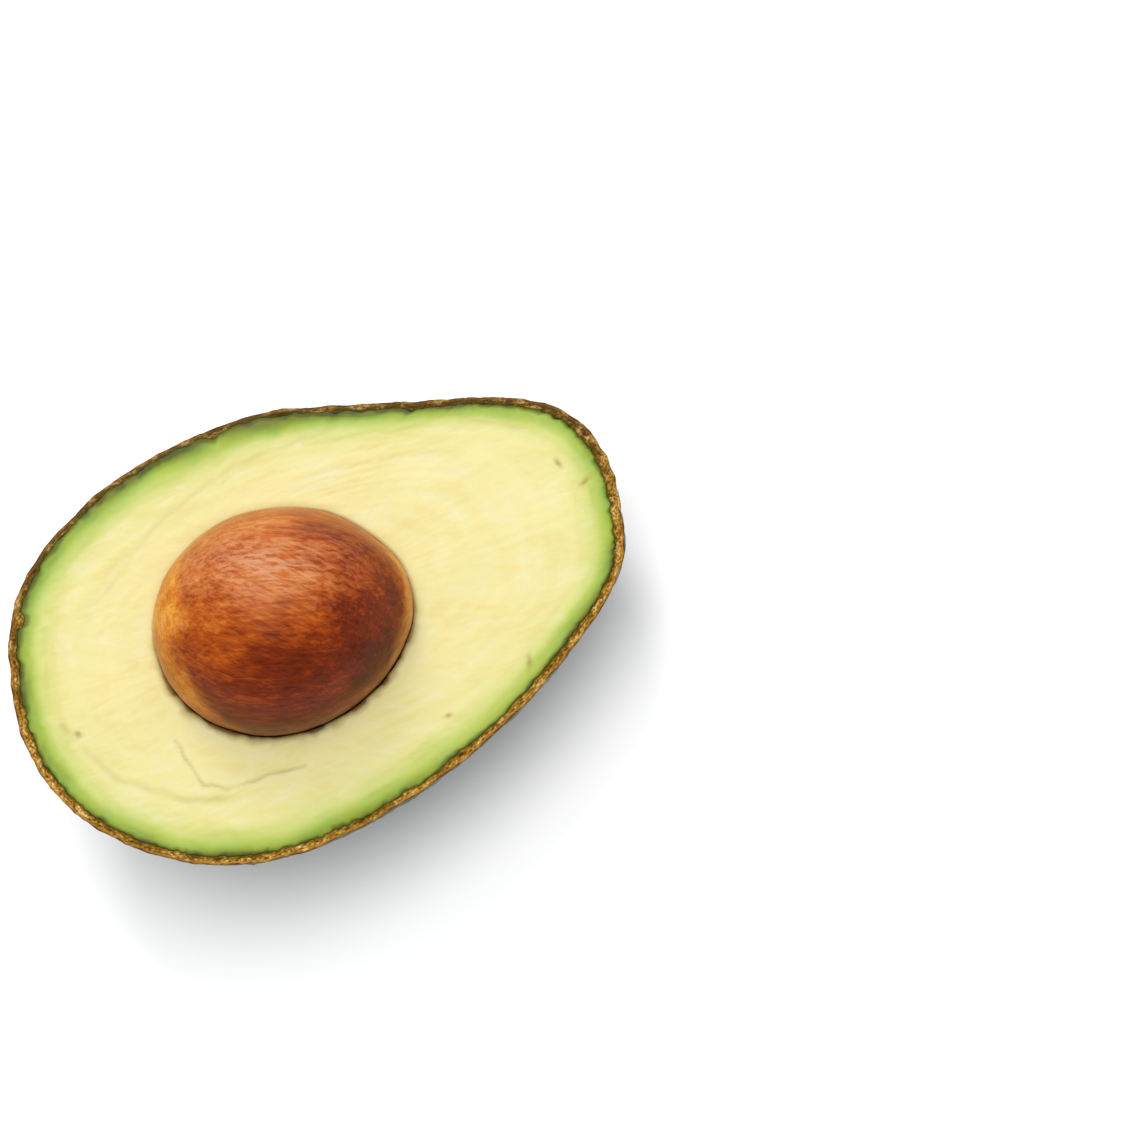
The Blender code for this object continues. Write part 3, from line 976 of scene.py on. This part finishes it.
def flesh_material():
    """Green by the peel and pale yellow inside, with streaks, stains and painted shadow beside the
    seed and in the gap under it.
    """
    made, tree, shader = new_material("avocado_flesh")
    fruit = place_on(tree)
    from_skin = attribute(tree, "from_skin")
    along_fibres = place_on(tree, stretch=5.0, turn=math.radians(-6))
    across_fibres = place_on(tree, stretch=3.2, turn=math.radians(-26))
    streaks = noise_of(along_fibres, 0.0016, detail=3.0, roughness=0.55, distortion=1.2)
    swirls = noise_of(across_fibres, 0.0042, detail=3.0, roughness=0.5, distortion=1.4)
    clouds = noise_of(fruit, 0.009, detail=3.0, roughness=0.5)
    bands = attribute(tree, "bands")
    side = add(tree, "ShaderNodeSeparateXYZ", {"Vector": fruit}).outputs["Y"]
    upper = spread(side, 0.0, 0.028)
    sway = times(minus(clouds, 0.5), 3.0)
    comb = plus(times(bands, -1.1), times(upper, -0.25))
    depth = plus(plus(from_skin, sway), comb)
    colour = ramp(
        worked("DIVIDE", depth, FLESH_RUN, clamp=True),
        (
            (0.07, shade(126, 134, 12)),
            (0.10, shade(148, 170, 38)),
            (0.14, shade(172, 196, 68)),
            (0.20, shade(200, 215, 98)),
            (0.26, shade(224, 228, 130)),
            (0.32, shade(238, 235, 150)),
            (0.42, shade(248, 240, 162)),
            (0.75, shade(254, 241, 170)),
        ),
    )
    patches = noise_of(fruit, 0.0060, detail=2.0)
    cooling = plus(patches, times(upper, 0.10))
    near_peel = spread(from_skin, 1.5, 6.5, 1.0, 0.0)
    cool = times(near_peel, spread(cooling, 0.48, 0.66))
    colour = mixed(tree, cool, colour, mixed(tree, 1.0, colour, COOLER, "MULTIPLY"))
    beside_peel = spread(from_skin, 1.5, 3.4, 1.0, 0.0)
    deep = times(beside_peel, spread(side, -0.024, -0.002, 0.85, 0.0))
    colour = mixed(tree, deep, colour, mixed(tree, 1.0, colour, DEEPER, "MULTIPLY"))
    warmth = plus(times(streaks, 0.45), times(swirls, 0.55))
    warmth = plus(warmth, times(bands, 0.16))
    warm = spread(warmth, 0.50, 0.66, 0.0, 0.55)
    colour = mixed(tree, warm, colour, mixed(tree, 1.0, colour, WARMER, "MULTIPLY"))
    pale = times(spread(warmth, 0.34, 0.48, 0.32, 0.0), spread(from_skin, 4.0, 7.0))
    colour = mixed(tree, pale, colour, shade(255, 249, 208))
    specks = noise_of(fruit, 0.0030, detail=1.0, roughness=0.5)
    reach = plus(spread(specks, 0.35, 0.65, 0.0, 0.55), times(upper, 0.30))
    seam = spread(minus(reach, attribute(tree, "from_seam")), -0.60, 0.35)
    darkened = mixed(tree, 1.0, colour, DARKER, "MULTIPLY")
    colour = mixed(tree, times(seam, 0.90), colour, darkened)
    stain = attribute(tree, "stain")
    colour = mixed(tree, times(stain, 0.75), colour, shade(164, 140, 26))
    frayed = minus(attribute(tree, "from_seed"), spread(specks, 0.35, 0.65, -0.2, 0.7))
    # Painted shadow of the seed on the flesh beside it, on its loose side.
    near_seed = spread(frayed, -0.3, 1.6, 1.0, 0.0)
    painted_seed_shadow = times(near_seed, attribute(tree, "loose"))
    colour = mixed(tree, times(painted_seed_shadow, 0.62), colour, shade(178, 146, 74))
    # Mostly painted shade in the gap under the seed, with a ragged edge for dark torn bits of its
    # coat.
    touching = spread(frayed, -0.35, 0.25, 1.0, 0.0)
    gap_shade_and_coat_bits = times(touching, attribute(tree, "loose"))
    colour = mixed(tree, times(gap_shade_and_coat_bits, 0.62), colour, shade(92, 58, 20))
    tree.links.new(colour, shader.inputs["Base Color"])
    wet = spread(clouds, 0.35, 0.65, 0.34, 0.46)
    tree.links.new(wet, shader.inputs["Roughness"])
    shader.inputs["Subsurface Weight"].default_value = 0.22
    shader.inputs["Subsurface Radius"].default_value = (1.0, 0.75, 0.30)
    shader.inputs["Subsurface Scale"].default_value = 0.0022
    shader.inputs["Specular IOR Level"].default_value = 0.20
    silk = bump(streaks, 0.00008, 0.30)
    tree.links.new(bump(swirls, 0.00010, 0.30, under=silk), shader.inputs["Normal"])
    return made


def seed_material():
    """Red-brown with a fine grain, a painted highlight paler on top, painted shade low down and at
    its foot, and golden low at both ends.
    """
    made, tree, shader = new_material("seed_coat")
    along_grain = place_on(tree, stretch=5.5, turn=GRAIN_TURN)
    across_grain = place_on(tree, stretch=6.0, turn=GRAIN_TURN - math.radians(24))
    lines = noise_of(along_grain, 0.0008, detail=5.0, roughness=0.68, distortion=0.6)
    hatching = noise_of(across_grain, 0.0006, detail=3.0, roughness=0.65, distortion=0.5)
    lines = plus(times(lines, 0.62), times(hatching, 0.38))
    bands = noise_of(along_grain, 0.0034, detail=3.0, roughness=0.6, distortion=0.6)
    coat = place_on(tree)
    blotches = noise_of(coat, 0.0065, detail=3.0, roughness=0.55)
    tone = plus(times(lines, 0.62), times(bands, 0.24))
    tone = plus(tone, times(blotches, 0.22))
    # Painted shade with the seed's own deeper tone: darker towards its lower side.
    shade_and_dark_tone = attribute(tree, "shade_and_dark_tone")
    tone = minus(tone, times(shade_and_dark_tone, 0.25))
    tone = minus(tone, times(attribute(tree, "shadowed"), 0.15))
    colour = ramp(
        tone,
        (
            (0.20, shade(88, 20, 0)),
            (0.33, shade(132, 39, 0)),
            (0.44, shade(180, 76, 6)),
            (0.55, shade(214, 116, 38)),
            (0.68, shade(242, 168, 98)),
        ),
    )
    golden = ramp(
        plus(times(lines, 0.6), times(blotches, 0.4)),
        (
            (0.38, shade(186, 82, 0)),
            (0.49, shade(238, 136, 14)),
            (0.60, shade(255, 190, 82)),
        ),
    )
    # Painted highlight: paler streaks on the upper middle of the seed.
    pale = times(attribute(tree, "painted_highlight"), spread(lines, 0.42, 0.58, 0.10, 0.80))
    colour = mixed(tree, pale, colour, shade(222, 160, 122))
    colour = mixed(tree, attribute(tree, "gold"), colour, golden)
    # Painted shade at the seed's foot, by the flesh.
    colour = mixed(tree, times(attribute(tree, "foot"), 0.80), colour, shade(84, 32, 0))
    tree.links.new(colour, shader.inputs["Base Color"])
    gloss = spread(lines, 0.3, 0.7, 0.28, 0.42)
    tree.links.new(gloss, shader.inputs["Roughness"])
    shader.inputs["Specular IOR Level"].default_value = 0.26
    shader.inputs["Specular Tint"].default_value = (1.0, 0.66, 0.38, 1.0)
    tree.links.new(bump(lines, 0.00014, 0.8), shader.inputs["Normal"])
    return made


def stem_material():
    """Pale wood with rings, painted shade in its splits and pit, browner round its side."""
    made, tree, shader = new_material("stem_wood")
    wood = place_on(tree)
    grains = noise_of(wood, 0.0005, detail=4.0, roughness=0.65)
    tone = plus(grains, times(attribute(tree, "wood_ring"), 0.10))
    colour = ramp(
        tone,
        (
            (0.32, shade(150, 92, 26)),
            (0.45, shade(204, 144, 58)),
            (0.57, shade(234, 184, 98)),
            (0.70, shade(248, 216, 148)),
        ),
    )
    # Painted shade: darker in the splits and the pit.
    colour = mixed(tree, times(attribute(tree, "split"), 0.9), colour, shade(70, 42, 16))
    side = spread(attribute(tree, "reach"), 0.90, 1.0)
    colour = mixed(tree, times(side, 0.45), colour, shade(110, 74, 34))
    tree.links.new(colour, shader.inputs["Base Color"])
    shader.inputs["Roughness"].default_value = 0.72
    tree.links.new(bump(grains, 0.0002, 0.8), shader.inputs["Normal"])
    return made


# ---------------------------------------------------------------- floor, light and camera

def make_floor():
    floor_mesh = bmesh.new()
    bmesh.ops.create_grid(floor_mesh, x_segments=1, y_segments=1, size=6.0)
    mesh = bpy.data.meshes.new("floor")
    floor_mesh.to_mesh(mesh)
    floor_mesh.free()
    floor = bpy.data.objects.new("floor", mesh)
    bpy.context.scene.collection.objects.link(floor)
    made, _, shader = new_material("floor")
    shader.inputs["Base Color"].default_value = (0.86, 0.86, 0.86, 1.0)
    shader.inputs["Roughness"].default_value = 0.7
    shader.inputs["Specular IOR Level"].default_value = 0.2
    mesh.materials.append(made)


def make_light(name, energy, size, location, aim, colour=(1.0, 1.0, 1.0)):
    lamp = bpy.data.lights.new(name, "AREA")
    lamp.shape = "DISK"
    lamp.energy = energy
    lamp.size = size
    lamp.color = colour
    light = bpy.data.objects.new(name, lamp)
    bpy.context.scene.collection.objects.link(light)
    light.location = location
    light.rotation_euler = (Vector(location) - Vector(aim)).to_track_quat("Z", "Y").to_euler()


def light_scene(centre):
    world = bpy.data.worlds.new("studio")
    world.use_nodes = True
    background = world.node_tree.nodes["Background"].inputs
    background["Color"].default_value = (0.96, 0.985, 1.0, 1.0)
    background["Strength"].default_value = 0.78
    bpy.context.scene.world = world
    make_light("overhead", 9.6, 0.95, (0.14, 0.08, 1.25), centre, (1.0, 0.985, 0.97))
    make_light("side", 6.4, 0.50, (0.26, 0.88, 1.00), centre, (1.0, 0.99, 0.98))
    bpy.context.scene.view_settings.view_transform = "Standard"


VIEW_TURN = math.radians(27.5)  # of the fruit's length in the picture
VIEW_LEAN = math.radians(5)  # of the view from straight onto the cut face, towards the front
VIEW_DISTANCE = 0.624
LENS = 120.0
FRAME_RIGHT, FRAME_UP = 0.0402, 0.0080  # from the fruit's middle to the picture's


def make_camera():
    """Looks down on the cut face, with the fruit's length rising to the right."""
    turned = LYING.to_3x3()
    right = turned @ Vector((math.cos(VIEW_TURN), -math.sin(VIEW_TURN), 0.0))
    upright = turned @ Vector((math.sin(VIEW_TURN), math.cos(VIEW_TURN), 0.0))
    outward = turned @ Vector((0.0, 0.0, 1.0))
    back = outward * math.cos(VIEW_LEAN) - upright * math.sin(VIEW_LEAN)
    up = back.cross(right)
    spin = Matrix((right, up, back)).transposed()
    aim = LYING.translation + right * FRAME_RIGHT + up * FRAME_UP
    lens = bpy.data.cameras.new("camera")
    lens.lens = LENS
    lens.sensor_width = 36.0
    camera = bpy.data.objects.new("camera", lens)
    bpy.context.scene.collection.objects.link(camera)
    camera.matrix_world = Matrix.Translation(aim + back * VIEW_DISTANCE) @ spin.to_4x4()
    bpy.context.scene.camera = camera


# ---------------------------------------------------------------- the whole

def stand_for(piece, node):
    """Hides a solid and attaches the piece that stands for it to the root's empty."""
    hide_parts(node)
    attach(piece, "root")


stand_for(make_peel(), "peel")
stand_for(make_flesh(), "flesh")
stand_for(make_seed(), "seed")
stand_for(make_stem(), "stem_button")
make_floor()
low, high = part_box("peel")
light_scene((low + high) / 2)
make_camera()
